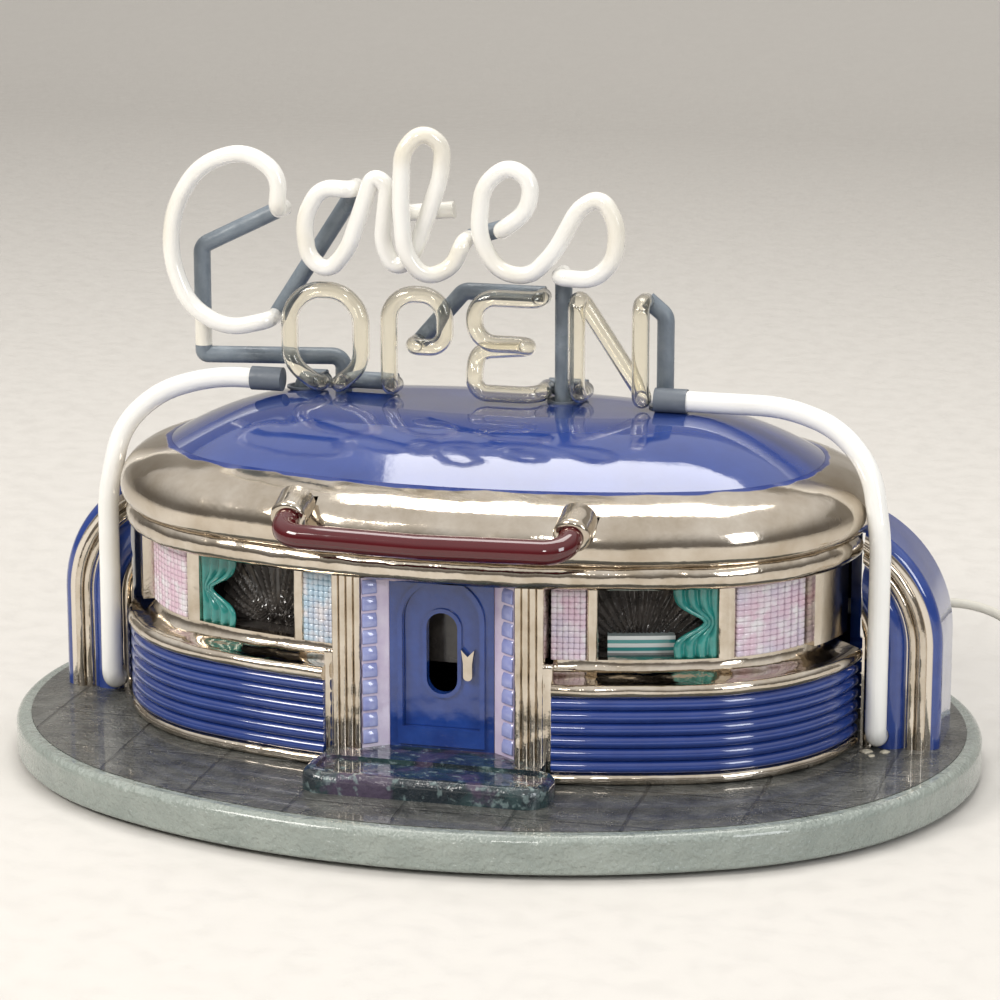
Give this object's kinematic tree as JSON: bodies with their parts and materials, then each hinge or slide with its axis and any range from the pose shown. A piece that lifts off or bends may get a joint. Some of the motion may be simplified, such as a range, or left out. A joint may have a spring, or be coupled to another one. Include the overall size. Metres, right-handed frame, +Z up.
{
  "type": "neon advertising sign",
  "caption": "Tabletop neon sign: a glazed ceramic streamlined diner on an oval base, with glass tube lettering on its roof.",
  "frame": {"origin": "middle of the plane that the undersides of the feet stand on", "axes": "+Z up, the door faces -Y, +X to the right seen from the front"},
  "size_m": [0.699, 0.4518, 0.3762],
  "materials": {
    "rim_glaze": "grey-green satin glaze, slightly dimpled",
    "pavement_glaze": "dark grey glaze, scratched",
    "foot_rubber": "matt",
    "cobalt_glaze": "deep cobalt gloss glaze, paler on the ribs",
    "lustre": "warm platinum lustre over glaze",
    "sill_glaze": "blue gloss glaze",
    "rear_glaze": "blue gloss glaze",
    "pearl_block": "pearl lustre, pink to blue",
    "curtain_glaze": "teal gloss glaze",
    "wall_glaze": "grey-blue gloss glaze",
    "step_glaze": "dark marbled gloss glaze",
    "lilac_glaze": "lilac gloss glaze with blue steps",
    "door_glaze": "blue gloss glaze",
    "screen_glaze": "dark glaze",
    "counter_glaze": "white and teal stripes",
    "crown_glaze": "mottled blue gloss glaze",
    "wing_glaze": "blue gloss glaze",
    "clear_glass": "clear, faintly yellow",
    "milk_glass": "white coated tube",
    "return_paint": "grey-blue block-out paint",
    "ruby_glass": "ruby red",
    "sleeve_rubber": "satin",
    "panel_metal": "satin grey",
    "screw_steel": "bright",
    "switch_plastic": "black gloss",
    "case_paint": "black enamel",
    "bushing_ceramic": "unglazed white",
    "electrode_rubber": "grey silicone",
    "lead_insulation": "red silicone",
    "cord_vinyl": "off-white vinyl",
    "blade_brass": "bright"
  },
  "bodies": {
    "housing": {"base_board": "rim_glaze", "pavement_sheet": "pavement_glaze", "base_feet": "foot_rubber", "skirt_left": "cobalt_glaze", "skirt_right": "cobalt_glaze", "skirt_rear": "cobalt_glaze", "kerb_beads": "lustre", "sill_left": "sill_glaze", "sill_right": "sill_glaze", "rear_wall": "rear_glaze", "access_panel": "panel_metal", "panel_screws": "screw_steel", "switch_pin": "screw_steel", "switch_frame": "switch_plastic", "glass_blocks_near": "pearl_block", "glass_blocks_far": "pearl_block", "window_posts": "lustre", "window_mullions": "lustre", "curtains": "curtain_glaze", "end_walls": "wall_glaze", "entrance_step": "step_glaze", "porch_pilasters": "lustre", "porch_reveals": "lilac_glaze", "door_frame": "wing_glaze", "door_leaf": "door_glaze", "door_handle": "lustre", "room_screen": "screen_glaze", "room_floors": "screen_glaze", "lunch_counter": "counter_glaze", "cornice": "lustre", "roof_bullnose": "lustre", "marquee_sockets": "lustre", "roof_crown": "crown_glaze", "wing_right": "wing_glaze", "wing_left": "wing_glaze", "wing_beads": "lustre", "word_tube": "clear_glass", "script_tube": "milk_glass", "blockout_returns": "return_paint", "border_tube_left": "milk_glass", "border_tube_right": "milk_glass", "end_sleeves": "sleeve_rubber", "marquee_tube": "ruby_glass", "lead_grommets": "sleeve_rubber", "mounting_bracket": "screw_steel", "transformer_case": "case_paint", "case_bushings": "bushing_ceramic", "bracket_screws": "screw_steel", "electrode_caps": "electrode_rubber", "high_voltage_leads": "lead_insulation", "series_lead": "lead_insulation", "strain_relief": "cord_vinyl", "cord_lead": "cord_vinyl", "cord_tail": "cord_vinyl", "cord_coil": "cord_vinyl", "coil_tie": "sleeve_rubber", "plug_body": "cord_vinyl", "plug_blades": "blade_brass"},
    "rocker": {"switch_rocker": "switch_plastic"}
  },
  "joints": [
    {"name": "rocker_tilt", "type": "hinge", "parent": "housing", "child": "rocker", "pos_m": [0, 0.13285, 0.114], "axis": [1, 0, 0], "range_deg": [-20, 0]}
  ]
}
